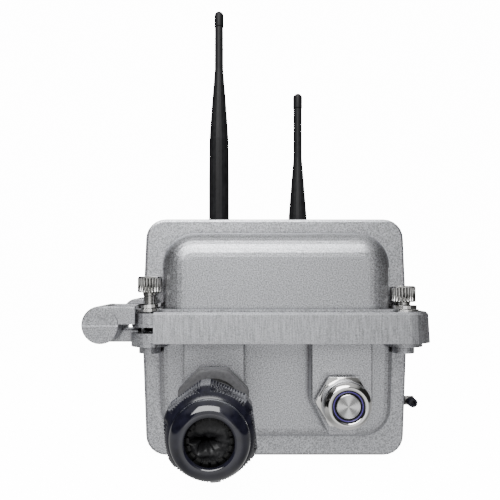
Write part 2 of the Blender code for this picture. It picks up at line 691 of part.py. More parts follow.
def push_button(surfaces):
    axis = group("button_axis", (PORT_X, -PAD_Y, PORT_Z), (radians(90), 0, 0))
    thread = BUTTON_THREAD_R
    tube("button_gasket", thread + GAP, 9.3 * MM, GAP, 1.0 * MM, 24, surfaces["rubber"], parent=axis)
    outline = polygon(BUTTON_NUT_ACROSS, 6, turn=30)
    nut = prism("button_nut", outline, 1.3 * MM, 3.5 * MM, surfaces["steel"], parent=axis)
    combine(nut, "DIFFERENCE", [rod("bore", thread + GAP, 0, 6 * MM, 32, parent=axis)])
    body = [
        (6.7 * MM, -20 * MM),
        (thread, -20 * MM),
        (thread, 3.8 * MM),
        (9.35 * MM, 3.8 * MM),
        (9.35 * MM, 9.3 * MM),
        (8.9 * MM, 10.3 * MM),
        (7.9 * MM, 11.3 * MM),
        (7.3 * MM, 11.5 * MM),
        (6.7 * MM, 11.2 * MM),
    ]
    turned("button_bezel", body, 32, surfaces["steel"], parent=axis)
    surround = [(5.0 * MM, 6 * MM), (6.5 * MM, 6 * MM), (6.5 * MM, 10.9 * MM), (5.98 * MM, 10.9 * MM)]
    surround += [(5.98 * MM, 9.0 * MM), (5.27 * MM, 9.0 * MM), (5.27 * MM, 10.9 * MM), (5.0 * MM, 10.9 * MM)]
    turned("button_surround", surround, 28, surfaces["nylon"], parent=axis)
    tube("button_light_ring", 5.35 * MM, 5.9 * MM, 9.2 * MM, 10.9 * MM, 28, surfaces["violet"], parent=axis)
    cap = [(0, -16 * MM), (2.0 * MM, -16 * MM), (2.0 * MM, 8.6 * MM), (4.7 * MM, 8.6 * MM)]
    cap += [(4.7 * MM, 11.0 * MM), (4.5 * MM, 11.2 * MM), (0, 11.1 * MM)]
    turned("button_cap", cap, 24, surfaces["steel"], parent=axis)
    outline = polygon(BUTTON_NUT_ACROSS, 6)
    locknut = prism("button_locknut", outline, -13.0 * MM, -10.3 * MM, surfaces["steel"], parent=axis)
    combine(locknut, "DIFFERENCE", [rod("bore", thread + GAP, -20 * MM, 0, 32, parent=axis)])
    rod("button_contact_block", 7.4 * MM, -31 * MM, -20.3 * MM, 8, surfaces["nylon"], parent=axis)


# ---------------------------------------------------------------- antennas


def antenna(name, x, stages, tip_height, surfaces):
    """A bulkhead connector, a swivelling elbow and a whip. stages: (radius, height) up the whip."""
    port = group(name + "_port", (x, PAD_Y, PORT_Z), (radians(-90), 0, 0))
    tube(name + "_washer", 4.3 * MM, 7.6 * MM, GAP, 1.3 * MM, 16, surfaces["rubber"], parent=port)
    thread = 4.0 * MM
    connector = [(0, -17 * MM), (thread, -17 * MM), (thread, 1.6 * MM), (7.0 * MM, 1.6 * MM)]
    connector += [(7.0 * MM, 4.4 * MM), (thread, 4.4 * MM), (thread, 11.0 * MM), (0, 11.0 * MM)]
    turned(name + "_connector", connector, 16, surfaces["brass"], parent=port)
    nut = prism(name + "_nut", polygon(11 * MM, 6), -14.0 * MM, -10.3 * MM, surfaces["brass"], parent=port)
    combine(nut, "DIFFERENCE", [rod("bore", thread + GAP, -20 * MM, 0, 16, parent=port)])

    elbow_group = group(name + "_pivot", (x, WHIP_Y, PORT_Z))
    elbow = rod(name + "_elbow", 6.5 * MM, -15.1 * MM, -4.5 * MM, 20, surfaces["whip"], parent=elbow_group)
    elbow.rotation_euler = (radians(-90), 0, 0)
    cheeks = sideways_disc("cheeks", PIVOT_R, 6.4 * MM, elbow_group)
    bridge = box("bridge", (-6.4 * MM, 6.4 * MM), (-8 * MM, 0), (-PIVOT_R, PIVOT_R), parent=elbow_group)
    combine(elbow, "UNION", [cheeks, bridge])
    half = TONGUE_HALF + GAP
    slot = box("slot", (-half, half), (-6.9 * MM, 9 * MM), (-9 * MM, 9 * MM), parent=elbow_group)
    bore = rod("bore", thread + GAP, -16 * MM, -8.5 * MM, 16, parent=elbow_group)
    bore.rotation_euler = (radians(-90), 0, 0)
    hole = sideways_disc("pin_hole", 1.8 * MM, 9 * MM, elbow_group, 12)
    combine(elbow, "DIFFERENCE", [slot, bore, hole])
    finish_casting(elbow, surfaces["whip"])
    pin = sideways_disc(name + "_pivot_pin", 1.5 * MM, 6.2 * MM, elbow_group, 12)
    finish_casting(pin, surfaces["steel"])

    whip = turned(name + "_whip", [(0, stages[0][1])] + stages + [(0, stages[-1][1])], 20, parent=elbow_group)
    tongue = sideways_disc("tongue", PIVOT_R - 0.2 * MM, TONGUE_HALF, elbow_group)
    stem = box("stem", (-TONGUE_HALF, TONGUE_HALF), (-5 * MM, 5 * MM), (0, 9 * MM), parent=elbow_group)
    combine(whip, "UNION", [tongue, stem])
    combine(whip, "DIFFERENCE", [sideways_disc("pin_hole", 1.8 * MM, 9 * MM, elbow_group, 12)])
    finish_casting(whip, surfaces["whip"])
    foot = stages[-1][1] + GAP
    tip = [(0, foot), (2.9 * MM, foot), (2.9 * MM, tip_height - 2.2 * MM)]
    tip += [(2.4 * MM, tip_height - 0.9 * MM), (1.3 * MM, tip_height - 0.2 * MM), (0, tip_height)]
    turned(name + "_tip", tip, 20, surfaces["whip"], parent=elbow_group)


def sideways_disc(name, radius, half, parent, segments=20):
    made = rod(name, radius, -half, half, segments, parent=parent)
    made.rotation_euler = (0, radians(90), 0)
    return made


def antennas(surfaces):
    shank = [(6.4 * MM, 7.6 * MM), (WHIP_R, 8.6 * MM)]
    tall = shank + [(WHIP_R, 113.0 * MM), (6.4 * MM, 121.0 * MM), (6.2 * MM, 139.2 * MM)]
    tall += [(5.65 * MM, 148.3 * MM), (4.3 * MM, 166.6 * MM), (2.8 * MM, 184.8 * MM), (2.7 * MM, 212.3 * MM)]
    antenna("antenna_left", -PORT_X, tall, 222.6 * MM, surfaces)
    short = shank + [(WHIP_R, 72.0 * MM), (6.3 * MM, 80.0 * MM), (5.85 * MM, 89.7 * MM)]
    short += [(4.1 * MM, 111.6 * MM), (2.75 * MM, 127.2 * MM), (2.7 * MM, 159.4 * MM)]
    antenna("antenna_right", PORT_X, short, 169.2 * MM, surfaces)


# ---------------------------------------------------------------- ground fitting


def ground_hole():
    hole = rod("ground_hole", 1.9 * MM, 48 * MM, 60 * MM, 16, location=(0, GROUND_Y, GROUND_Z))
    hole.rotation_euler = (0, radians(90), 0)
    return hole


def ground_fitting(surfaces):
    """A rubber cone and a cross-drilled stud on the side wall, with a clamp screw along Y."""
    axis = group("ground_axis", (0, GROUND_Y, GROUND_Z), (0, radians(90), 0))
    cone = [(1.9 * MM, 56.2 * MM), (3.9 * MM, 56.2 * MM), (3.5 * MM, 57.0 * MM)]
    cone += [(2.3 * MM, 58.2 * MM), (1.9 * MM, 58.2 * MM)]
    turned("ground_grommet", cone, 20, surfaces["rubber"], parent=axis)
    profile = [(0, 51 * MM), (1.6 * MM, 51 * MM), (1.6 * MM, 58.6 * MM), (2.0 * MM, 58.6 * MM)]
    profile += [(2.0 * MM, GROUND_TIP_X - 0.4 * MM), (1.6 * MM, GROUND_TIP_X), (0, GROUND_TIP_X)]
    stud = turned("ground_stud", profile, 20, surfaces["nickel"], parent=axis)
    screw = group("ground_screw_axis", (GROUND_SCREW_X, GROUND_Y, GROUND_Z), (radians(90), 0, 0))
    combine(stud, "DIFFERENCE", [rod("hole", 0.9 * MM, -4 * MM, 4 * MM, 12, parent=screw)])
    profile = [(0, -1.8 * MM), (0.6 * MM, -1.8 * MM), (0.6 * MM, 2.3 * MM), (2.1 * MM, 2.3 * MM)]
    profile += [(2.1 * MM, 4.9 * MM), (1.8 * MM, 5.3 * MM), (0, 5.3 * MM)]
    head = turned("ground_screw", profile, 20, surfaces["nylon"], parent=screw)
    combine(head, "DIFFERENCE", [prism("socket", polygon(2.2 * MM, 6), 3.6 * MM, 7 * MM, parent=screw)])


# ---------------------------------------------------------------- electronics


def electronics(surfaces):
    half_x, half_y = BOARD_HALF
    box("main_board", (-half_x, half_x), (-half_y, half_y), BOARD_Z, surfaces["board"])
    top = BOARD_Z[1] + GAP
    box("radio_shield", (-6 * MM, 38 * MM), (-6 * MM, 26 * MM), (top, top + 4.5 * MM), surfaces["tin"])
    box("power_module", (-42 * MM, -14 * MM), (2 * MM, 28 * MM), (top, top + 13 * MM), surfaces["nylon"])
    jack = ((-33.6 * MM, -17.6 * MM), (-33 * MM, -12 * MM), (top, top + 13.5 * MM))
    jack = box("ethernet_jack", *jack, surfaces["tin"])
    mouth = box("mouth", (-31.6 * MM, -19.6 * MM), (-40 * MM, -20 * MM), (top + 3 * MM, top + 11 * MM))
    combine(jack, "DIFFERENCE", [mouth])
    under_board = (FLOOR_Z + GAP, BOARD_Z[0] - GAP)
    box("heat_block", (-2 * MM, 32 * MM), (-4 * MM, 24 * MM), under_board, surfaces["cast"])
    shield_top = top + 4.5 * MM
    for name, x, end in (("coax_left", -PORT_X, -2 * MM), ("coax_right", PORT_X, PORT_X)):
        route = [(x, 35.4 * MM, PORT_Z), (x, 32 * MM, PORT_Z)]
        route.append((x * 0.6 + end * 0.4, 27 * MM, PORT_Z - 0.5 * MM))
        route += [(end, 22 * MM, shield_top + 7 * MM), (end, 19 * MM, shield_top + 2.5 * MM)]
        route.append((end, 19 * MM, shield_top + GAP))
        coax(name, route, surfaces["coax"])


def coax(name, route, surface):
    """A thin cable along a smooth curve through the route's points."""
    points = [Vector(point) for point in route]
    points = [2 * points[0] - points[1]] + points + [2 * points[-1] - points[-2]]
    path = []
    for i in range(1, len(points) - 2):
        for step in range(3):
            path.append(catmull(points[i - 1 : i + 3], step / 3))
    path.append(points[-2])
    curve = bpy.data.curves.new(name, "CURVE")
    curve.dimensions = "3D"
    curve.bevel_depth = 0.9 * MM
    curve.bevel_resolution = 1
    curve.use_fill_caps = True
    spline = curve.splines.new("POLY")
    spline.points.add(len(path) - 1)
    for point, place in zip(spline.points, path):
        point.co = (*place, 1.0)
    curve.materials.append(surface)
    bpy.context.scene.collection.objects.link(bpy.data.objects.new(name, curve))


def catmull(four, t):
    a, b, c, d = four
    return 0.5 * (2 * b + (c - a) * t + (2 * a - 5 * b + 4 * c - d) * t * t + (3 * b - a - 3 * c + d) * t**3)


def main():
    clear_scene()
    surfaces = make_materials()
    base_casting(surfaces["cast"])
    lid_group = group("lid_hinge", (HINGE_X, 0, HINGE_Z))
    bpy.context.view_layer.update()
    lid_casting(surfaces["cast"], lid_group)
    gasket_ring("lid_gasket", MM, 2.8 * MM, 52.2 * MM, 53.8 * MM, surfaces["rubber"])
    hinge_pins(surfaces["steel"])
    cover_screws(surfaces, lid_group)
    cable_gland(surfaces)
    push_button(surfaces)
    antennas(surfaces)
    ground_fitting(surfaces)
    electronics(surfaces)
    bpy.context.view_layer.update()


main()
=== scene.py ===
"""Looks for the outdoor wireless bridge: materials, fine pieces, floor, lights and camera.

Metres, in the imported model's frame: -Y is the end with the cable gland, +Z is up.
"""

import json
from math import cos, pi, radians, sin

import bmesh
import bpy
from mathutils import Euler, Matrix, Vector, noise


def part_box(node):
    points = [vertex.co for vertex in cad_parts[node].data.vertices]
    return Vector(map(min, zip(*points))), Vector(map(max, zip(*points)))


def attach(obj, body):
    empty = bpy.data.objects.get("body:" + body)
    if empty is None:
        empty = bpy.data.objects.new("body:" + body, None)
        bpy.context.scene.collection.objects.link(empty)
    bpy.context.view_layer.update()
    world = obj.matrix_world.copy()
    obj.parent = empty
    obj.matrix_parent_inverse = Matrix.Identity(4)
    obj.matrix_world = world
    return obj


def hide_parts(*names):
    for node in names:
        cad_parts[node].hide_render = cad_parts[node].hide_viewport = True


MM = 0.001

# Noise mostly stays between these two values, so ramps between them use its whole range.
NOISE_LOW = 0.3
NOISE_HIGH = 0.7

# Tints, multiplied into a grey value.
CAST_TINT = (0.975, 0.99, 1.035)
STEEL_TINT = (1.0, 0.99, 0.97)
NICKEL_TINT = (1.0, 0.99, 0.96)
GLOSSY_TINT = (1.0, 1.0, 1.9)
DULL_TINT = (1.0, 1.0, 1.05)
RUBBER_TINT = (1.0, 1.0, 1.12)

# Where the flange's sawn rim lies, in mm: its height, and how far out its outer faces are.
RIM_BOTTOM_Z = (49.2, 50.2)
RIM_TOP_Z = (61.6, 62.4)
RIM_OUT_Y = (55.6, 56.4)
RIM_OUT_X = (60.6, 61.4)

# Where the gland cap's polished dome ends and its duller ribbed part begins, in mm.
DOME_END_Y = (-101.9, -101.5)

# The camera looks along +Y, and its picture is shifted instead of tilted.
CAMERA_PLACE = (-20.4 * MM, -253.0 * MM, 75.0 * MM)
CAMERA_LENS = 36.0
CAMERA_SHIFT = (0.046, 0.06)

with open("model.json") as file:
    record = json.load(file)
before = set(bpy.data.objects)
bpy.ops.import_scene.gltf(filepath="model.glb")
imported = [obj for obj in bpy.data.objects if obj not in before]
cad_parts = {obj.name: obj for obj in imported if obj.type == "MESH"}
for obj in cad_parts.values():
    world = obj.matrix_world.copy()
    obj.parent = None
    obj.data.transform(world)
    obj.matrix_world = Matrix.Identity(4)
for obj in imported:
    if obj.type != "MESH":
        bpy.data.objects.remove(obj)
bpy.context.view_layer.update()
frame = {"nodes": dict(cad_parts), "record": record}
nodes = frame["nodes"]


# ---------------------------------------------------------------- shader helpers


class Shader:
    """A material's node tree, with short calls for the nodes used here.

    Coordinates are the row frame's, in mm.
    """

    def __init__(self, name):
        self.material = bpy.data.materials.new(name)
        self.material.use_nodes = True
        self.tree = self.material.node_tree
        self.surface = self.tree.nodes["Principled BSDF"]
        coordinates = self.tree.nodes.new("ShaderNodeTexCoord")
        scaled = self.tree.nodes.new("ShaderNodeVectorMath")
        scaled.operation = "SCALE"
        scaled.inputs["Scale"].default_value = 1 / MM
        self.tree.links.new(coordinates.outputs["Object"], scaled.inputs[0])
        self.place = scaled.outputs[0]

    def link(self, source, socket):
        """Joins an output, or sets a constant."""
        if isinstance(source, (int, float, tuple)):
            socket.default_value = source
        else:
            self.tree.links.new(source, socket)

    def stretched(self, x, y, z):
        """The coordinates, multiplied per axis, so that a noise gets longer along the small ones."""
        node = self.tree.nodes.new("ShaderNodeVectorMath")
        node.operation = "MULTIPLY"
        self.link(self.place, node.inputs[0])
        node.inputs[1].default_value = (x, y, z)
        return node.outputs[0]

    def noise(self, per_mm, detail=3.0, roughness=0.5, place=None):
        node = self.tree.nodes.new("ShaderNodeTexNoise")
        node.inputs["Scale"].default_value = per_mm
        node.inputs["Detail"].default_value = detail
        node.inputs["Roughness"].default_value = roughness
        self.link(place or self.place, node.inputs["Vector"])
        return node.outputs["Fac"]

    def cells(self, per_mm):
        node = self.tree.nodes.new("ShaderNodeTexVoronoi")
        node.inputs["Scale"].default_value = per_mm
        self.link(self.place, node.inputs["Vector"])
        return node.outputs["Distance"]

    def ramp(self, value, low, high, at_low=0.0, at_high=1.0):
        node = self.tree.nodes.new("ShaderNodeMapRange")
        node.clamp = True
        self.link(value, node.inputs["Value"])
        limits = {"From Min": low, "From Max": high, "To Min": at_low, "To Max": at_high}
        for name, number in limits.items():
            node.inputs[name].default_value = number
        return node.outputs["Result"]

    def spread(self, noise, at_low=0.0, at_high=1.0):
        """A noise stretched over its whole range."""
        return self.ramp(noise, NOISE_LOW, NOISE_HIGH, at_low, at_high)

    def maths(self, operation, a, b=0.0):
        node = self.tree.nodes.new("ShaderNodeMath")
        node.operation = operation
        self.link(a, node.inputs[0])
        self.link(b, node.inputs[1])
        return node.outputs[0]

    def mix(self, factor, a, b):
        node = self.tree.nodes.new("ShaderNodeMix")
        node.data_type = "RGBA"
        self.link(factor, node.inputs["Factor"])
        self.link(a, node.inputs[6])
        self.link(b, node.inputs[7])
        return node.outputs[2]

    def axis(self, name):
        """One coordinate, in mm."""
        node = self.tree.nodes.new("ShaderNodeSeparateXYZ")
        self.link(self.place, node.inputs[0])
        return node.outputs[name]

    def bump(self, height, depth_mm, strength=1.0, after=None):
        """A normal for a relief. after is a normal that it adds to."""
        node = self.tree.nodes.new("ShaderNodeBump")
        node.inputs["Strength"].default_value = strength
        node.inputs["Distance"].default_value = depth_mm * MM
        self.link(height, node.inputs["Height"])
        if after:
            self.link(after, node.inputs["Normal"])
        return node.outputs["Normal"]

    def creases(self, reach_mm):
        """1 on open faces, falling towards 0 in inner corners. The materials here use it to paint shade
        into those corners.
        """
        node = self.tree.nodes.new("ShaderNodeAmbientOcclusion")
        node.samples = 6
        node.inputs["Distance"].default_value = reach_mm * MM
        return node.outputs["AO"]

    def soft_edges(self, radius_mm):
        """A normal that rounds the edges."""
        node = self.tree.nodes.new("ShaderNodeBevel")
        node.samples = 4
        node.inputs["Radius"].default_value = radius_mm * MM
        return node.outputs["Normal"]

    def finish(self, colour, roughness, metallic=0.0, normal=None, **constants):
        """Fills the surface's sockets. Spaces in a constant's name are written as underscores."""
        self.link(colour, self.surface.inputs["Base Color"])
        self.link(roughness, self.surface.inputs["Roughness"])
        self.surface.inputs["Metallic"].default_value = metallic
        if normal:
            self.link(normal, self.surface.inputs["Normal"])
        for name, value in constants.items():
            self.surface.inputs[name.replace("_", " ")].default_value = value
        return self.material


def grey(value, tint=(1.0, 1.0, 1.0)):
    """A grey as a colour with alpha."""
    return (value * tint[0], value * tint[1], value * tint[2], 1.0)


# ---------------------------------------------------------------- materials


def cast_metal():
    """Grey metallic finish on a fine orange-peel casting, with upright tool streaks on the flange's rim and
    painted shade darkening its inner corners.
    """
    made = Shader("cast_metal")
    grain = made.noise(2.0, detail=2.0, roughness=0.65)
    fine = made.noise(3.0, detail=1.0)
    cloud = made.noise(0.03, detail=3.0)
    streak = made.noise(1.0, detail=3.0, roughness=0.6, place=made.stretched(2.0, 2.0, 0.08))
    above = made.ramp(made.axis("Z"), *RIM_BOTTOM_Z)
    below = made.ramp(made.axis("Z"), *RIM_TOP_Z, 1.0, 0.0)
    out_y = made.ramp(made.maths("ABSOLUTE", made.axis("Y")), *RIM_OUT_Y)
    out_x = made.ramp(made.axis("X"), *RIM_OUT_X)
    rim = made.maths("MULTIPLY", made.maths("MULTIPLY", above, below), made.maths("MAXIMUM", out_y, out_x))
    peel = made.maths("ADD", made.maths("MULTIPLY", grain, 0.65), made.maths("MULTIPLY", fine, 0.35))
    speckled = made.mix(made.ramp(peel, 0.42, 0.58), grey(0.30, CAST_TINT), grey(0.68, CAST_TINT))
    lined = made.mix(made.ramp(streak, 0.38, 0.62), grey(0.3, CAST_TINT), grey(0.66, CAST_TINT))
    colour = made.mix(made.maths("MULTIPLY", rim, 0.5), speckled, lined)
    colour = made.mix(made.spread(cloud, 0.0, 0.14), colour, grey(0.47, CAST_TINT))
    # Painted shade: the colour turns near black in inner corners and creases, where shade falls.
    painted_corner_shade = made.ramp(made.creases(2.2), 0.45, 0.85, 0.62, 0.0)
    colour = made.mix(painted_corner_shade, colour, grey(0.06, CAST_TINT))
    normal = made.bump(made.maths("MULTIPLY", streak, rim), 0.06, 0.5, after=made.bump(peel, 0.12, 1.0))
    return made.finish(colour, made.spread(fine, 0.32, 0.44), 0.95, normal)


def polished_steel(name, roughness, value):
    """Steel with fine scratches round it."""
    made = Shader(name)
    scratch = made.noise(1.6, detail=4.0, place=made.stretched(1.0, 1.0, 6.0))
    colour = made.mix(made.spread(scratch), grey(value * 0.9, STEEL_TINT), grey(value * 1.08, STEEL_TINT))
    normal = made.bump(scratch, 0.01, 0.25, after=made.soft_edges(0.12))
    return made.finish(colour, made.spread(scratch, roughness * 0.8, roughness * 1.5), 1.0, normal)


def spun_steel(name, centre_x, centre_z):
    """A turned face round an axis along Y: fine rings, and opposed bright and dark sectors of painted
    highlight and painted shade.
    """
    sectors = 4.0
    made = Shader(name)
    across = made.maths("SUBTRACT", made.axis("X"), centre_x)
    up = made.maths("SUBTRACT", made.axis("Z"), centre_z)
    squares = made.maths("ADD", made.maths("MULTIPLY", across, across), made.maths("MULTIPLY", up, up))
    radius = made.maths("SQRT", squares)
    bearing = made.maths("ARCTAN2", up, across)
    polar = made.tree.nodes.new("ShaderNodeCombineXYZ")
    made.link(made.maths("MULTIPLY", radius, 6.0), polar.inputs["X"])
    made.link(made.maths("MULTIPLY", bearing, 0.5), polar.inputs["Y"])
    rings = made.noise(1.0, detail=3.0, roughness=0.7, place=polar.outputs[0])
    # Painted highlight and shade: bright and dark sectors take turns round the face and stand in for its
    # reflections. The rings are turning marks.
    painted_sheen_fan = made.maths("COSINE", made.maths("MULTIPLY", bearing, sectors))
    shade = made.ramp(made.maths("ADD", made.maths("MULTIPLY", painted_sheen_fan, 0.3), rings), 0.25, 0.75)
    colour = made.mix(shade, grey(0.3), grey(0.85))
    normal = made.bump(rings, 0.02, 0.35)
    return made.finish(colour, made.spread(rings, 0.22, 0.34), 1.0, normal)


def nickel():
    """Bright plate, with painted shade darkening its grooves."""
    made = Shader("nickel_plate")
    pits = made.noise(2.2, detail=3.0)
    colour = made.mix(made.ramp(pits, 0.35, 0.7), grey(0.45, NICKEL_TINT), grey(0.75, NICKEL_TINT))
    # Painted shade: the colour turns near black in the knurl grooves and other inner corners, where shade
    # falls.
    painted_groove_shade = made.ramp(made.creases(0.9), 0.35, 0.9, 0.92, 0.0)
    colour = made.mix(painted_groove_shade, colour, grey(0.015))
    normal = made.bump(pits, 0.02, 0.3)
    return made.finish(colour, made.spread(pits, 0.08, 0.18), 1.0, normal)


def black_nylon():
    """Glossy on the gland cap's dome, duller behind it."""
    made = Shader("black_nylon")
    skin = made.noise(0.5, detail=4.0)
    mould = made.noise(3.0, detail=1.0)
    colour = made.mix(made.spread(skin), grey(0.005, GLOSSY_TINT), grey(0.011, GLOSSY_TINT))
    normal = made.bump(mould, 0.008, 0.3)
    behind = made.ramp(made.axis("Y"), *DOME_END_Y)
    rough = made.maths("ADD", made.spread(skin, 0.06, 0.11), made.maths("MULTIPLY", behind, 0.2))
    made.link(made.ramp(behind, 0.0, 1.0, 0.9, 0.4), made.surface.inputs["Specular IOR Level"])
    return made.finish(colour, rough, 0.0, normal)


def matte_nylon():
    """The gland's body, which stays black where light grazes it."""
    made = Shader("matte_nylon")
    skin = made.noise(0.8, detail=3.0)
    colour = made.mix(made.spread(skin), grey(0.008), grey(0.014))
    normal = made.bump(skin, 0.03, 0.3, after=made.soft_edges(0.25))
    return made.finish(colour, made.spread(skin, 0.4, 0.5), 0.0, normal, Specular_IOR_Level=0.18)


def dull_nylon():
    """The gland's grey octagon nut."""
    made = Shader("dull_nylon")
    skin = made.noise(0.8, detail=4.0, roughness=0.6)
    grain = made.noise(2.0, detail=2.0)
    colour = made.mix(made.spread(skin), grey(0.065, DULL_TINT), grey(0.1, DULL_TINT))
    normal = made.bump(grain, 0.05, 0.5, after=made.soft_edges(0.4))
    return made.finish(colour, made.spread(skin, 0.45, 0.6), 0.0, normal, Specular_IOR_Level=0.3)


def rubber(name, value, roughness, shine):
    """A grainy black of the given grey value."""
    made = Shader(name)
    skin = made.noise(0.35, detail=4.0)
    grain = made.noise(2.5, detail=2.0)
    colour = made.mix(made.spread(skin), grey(value * 0.75, RUBBER_TINT), grey(value * 1.3, RUBBER_TINT))
    normal = made.bump(grain, 0.03, 0.35, after=made.soft_edges(0.2))
    rough = made.spread(skin, roughness * 0.85, roughness * 1.1)
    return made.finish(colour, rough, 0.0, normal, Specular_IOR_Level=shine)


def lit_violet():
    made = Shader("violet_light")
    glow = made.mix(made.noise(0.8), (0.06, 0.035, 0.2, 1.0), (0.1, 0.06, 0.3, 1.0))
    made.link(glow, made.surface.inputs["Emission Color"])
    made.surface.inputs["Emission Strength"].default_value = 0.12
    colour = made.mix(made.noise(1.5), (0.08, 0.05, 0.28, 1.0), (0.12, 0.08, 0.36, 1.0))
    return made.finish(colour, 0.3)


def circuit_board():
    made = Shader("circuit_board")
    tracks = made.cells(0.35)
    colour = made.mix(made.ramp(tracks, 0.25, 0.3), (0.012, 0.09, 0.035, 1.0), (0.02, 0.15, 0.06, 1.0))
    return made.finish(colour, 0.42, 0.0, made.bump(tracks, 0.03, 0.3))


def brass():
    made = Shader("gold_plate")
    wear = made.noise(0.9, detail=4.0)
    colour = made.mix(made.spread(wear), (0.62, 0.42, 0.16, 1.0), (0.8, 0.6, 0.27, 1.0))
    return made.finish(colour, made.spread(wear, 0.2, 0.34), 1.0, made.bump(wear, 0.01, 0.3))


def coax_jacket():
    made = Shader("coax_jacket")
    skin = made.noise(1.2, detail=3.0)
    colour = made.mix(made.spread(skin), (0.12, 0.05, 0.025, 1.0), (0.2, 0.09, 0.045, 1.0))
    return made.finish(colour, 0.42, 0.0, made.bump(skin, 0.02, 0.3))


def make_materials():
    """One material for each of the record's slots."""
    return {
        "cast_alloy": cast_metal(),
        "stainless": polished_steel("polished_steel", 0.08, 0.85),
        "nickel": nickel(),
        "black_nylon": black_nylon(),
        "grey_nylon": dull_nylon(),
        "seal_rubber": rubber("seal_rubber", 0.01, 0.5, 0.4),
        "whip_jacket": rubber("whip_jacket", 0.009, 0.5, 0.22),
        "brass": brass(),
        "light_ring": lit_violet(),
        "board": circuit_board(),
        "tinned_steel": polished_steel("tinned_steel", 0.3, 0.55),
        "coax_jacket": coax_jacket(),
    }


# ---------------------------------------------------------------- mesh helpers


def surface_object(name, points, faces, material, matrix=Matrix.Identity(4), smooth_angle=35.0):
    """A mesh object with its points placed by the matrix, smooth except along edges past the angle."""
    merge_distance = 1e-7
    mesh = bpy.data.meshes.new(name)
    mesh.from_pydata([tuple(matrix @ Vector(point)) for point in points], [], faces)
    work = bmesh.new()
    work.from_mesh(mesh)
    bmesh.ops.remove_doubles(work, verts=work.verts, dist=merge_distance)
    bmesh.ops.recalc_face_normals(work, faces=work.faces)
    work.to_mesh(mesh)
    work.free()
    mesh.materials.append(material)
    mesh.shade_smooth()
    mesh.set_sharp_from_angle(angle=radians(smooth_angle))
    made = bpy.data.objects.new(name, mesh)
    bpy.context.scene.collection.objects.link(made)
    return made


def skin(rings, closed_ends=True, closed_ring=False):
    """Points and faces of a surface through rings of equally many points."""
    count = len(rings[0])
    points = [point for ring in rings for point in ring]
    faces = []
    levels = len(rings) if closed_ring else len(rings) - 1
    for level in range(levels):
        low = level * count
        high = (level + 1) % len(rings) * count
        for i in range(count):
            j = (i + 1) % count
            faces.append((low + i, low + j, high + j, high + i))
    if closed_ends and not closed_ring:
        faces.append(tuple(range(count)))
        faces.append(tuple(range(len(points) - count, len(points))))
    return points, faces


def turned(profile, segments=64, radius_at=None):
    """Rings of a (radius, height) profile about Z. radius_at(radius, height, angle) can shape each ring."""
    rings = []
    for radius, height in profile:
        ring = []
        for step in range(segments):
            angle = 2 * pi * step / segments
            reach = radius_at(radius, height, angle) if radius_at else radius
            ring.append((reach * cos(angle), reach * sin(angle), height))
        rings.append(ring)
    return rings


def along_y(x, z, y0):
    """The matrix that stands a piece modelled along +Z on the front pad, pointing to -Y."""
    return Matrix.Translation((x, y0, z)) @ Euler((radians(90), 0, 0)).to_matrix().to_4x4()


def centre(node, axis):
    """The middle of a node's box along an axis."""
    low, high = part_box(node)
    return (low[axis] + high[axis]) / 2


# ---------------------------------------------------------------- cable gland


GLAND_X = centre("gland_cap", 0)
GLAND_Z = centre("gland_cap", 2)
PAD_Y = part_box("gland_seal")[1][1] + 0.3 * MM


def gland_cap(material):
    """The sealing cap: six ribbed flats between smooth corners, then a polished dome round the mouth."""
    back = PAD_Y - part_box("gland_cap")[1][1]
    corner_r, reach, cap_turn = 15.45 * MM, 14.15 * MM, 6.4
    cone_r, cone_start, cone_slope = 16.45 * MM, 42.4 * MM, 0.58
    dome_r, dome_middle_r, dome_foot, dome_rise = 4.05 * MM, 8.3 * MM, 49.8 * MM, 4.15 * MM
    ribs, rib_depth, points_per_rib, corner_points = 13, 0.65 * MM, 4, 4
    half_flat = 24.0
    edge = radians(half_flat)
    corner_turn = radians(60 - 2 * half_flat)

    def outline(height, grip):
        """Points round the cap at a height. grip fades the ribs in and out along its length."""
        limit = min(corner_r, cone_r - cone_slope * max(0.0, height - cone_start))
        ring = []
        per_flat = ribs * points_per_rib
        for side in range(6):
            middle = radians(60 * side + cap_turn)
            for step in range(per_flat + 1):
                turn = -edge + 2 * edge * step / per_flat
                radius = min(reach / cos(turn), limit)
                wave = (1 - cos(2 * pi * ribs * (step / per_flat))) / 2
                radius -= rib_depth * grip * wave**0.7
                ring.append((radius, middle + turn))
            for step in range(1, corner_points):
                turn = edge + corner_turn * step / corner_points
                ring.append((limit, middle + turn))
        return ring

    def level(height, shrink=1.0, grip=1.0):
        return [(r * shrink * cos(a), r * shrink * sin(a), height) for r, a in outline(height, grip)]

    def circle(radius, height):
        angles = [a for _, a in outline(back, 0.0)]
        return [(radius * cos(a), radius * sin(a), height) for a in angles]

    rings = [circle(12.7 * MM, back), level(back, 0.965, 0.0), level(back + 0.5 * MM, 1.0, 0.0)]
    rings += [level(back + 1.0 * MM)]
    ribbed = [(41.5, 1.0), (43.4, 1.0), (44.8, 1.0), (45.8, 0.9), (46.5, 0.45), (47.1, 0.0)]
    rings += [level(height * MM, 1.0, grip) for height, grip in ribbed]
    rings += [level(47.8 * MM, 0.995, 0.0), level(48.4 * MM, 0.985, 0.0)]
    rings += [circle(12.15 * MM, 48.8 * MM), circle(12.3 * MM, 49.1 * MM)]
    steps = 10
    for step in range(steps + 1):
        turn = radians(90 * step / steps)
        rings.append(circle(dome_middle_r + dome_r * cos(turn), dome_foot + dome_rise * sin(turn)))
    inside = [(7.75, 53.85), (7.45, 53.4), (7.45, 52.5), (9.9, 51.7), (11.2, 49.6), (12.0, 47), (12.6, 45)]
    rings += [circle(radius * MM, height * MM) for radius, height in inside]
    rings.append(circle(12.6 * MM, back))
    points, faces = skin(rings, closed_ends=False)
    made = surface_object("gland_cap_ribbed", points, faces, material, along_y(GLAND_X, GLAND_Z, PAD_Y), 50)
    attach(made, "gland_cap_body")
    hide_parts("gland_cap")


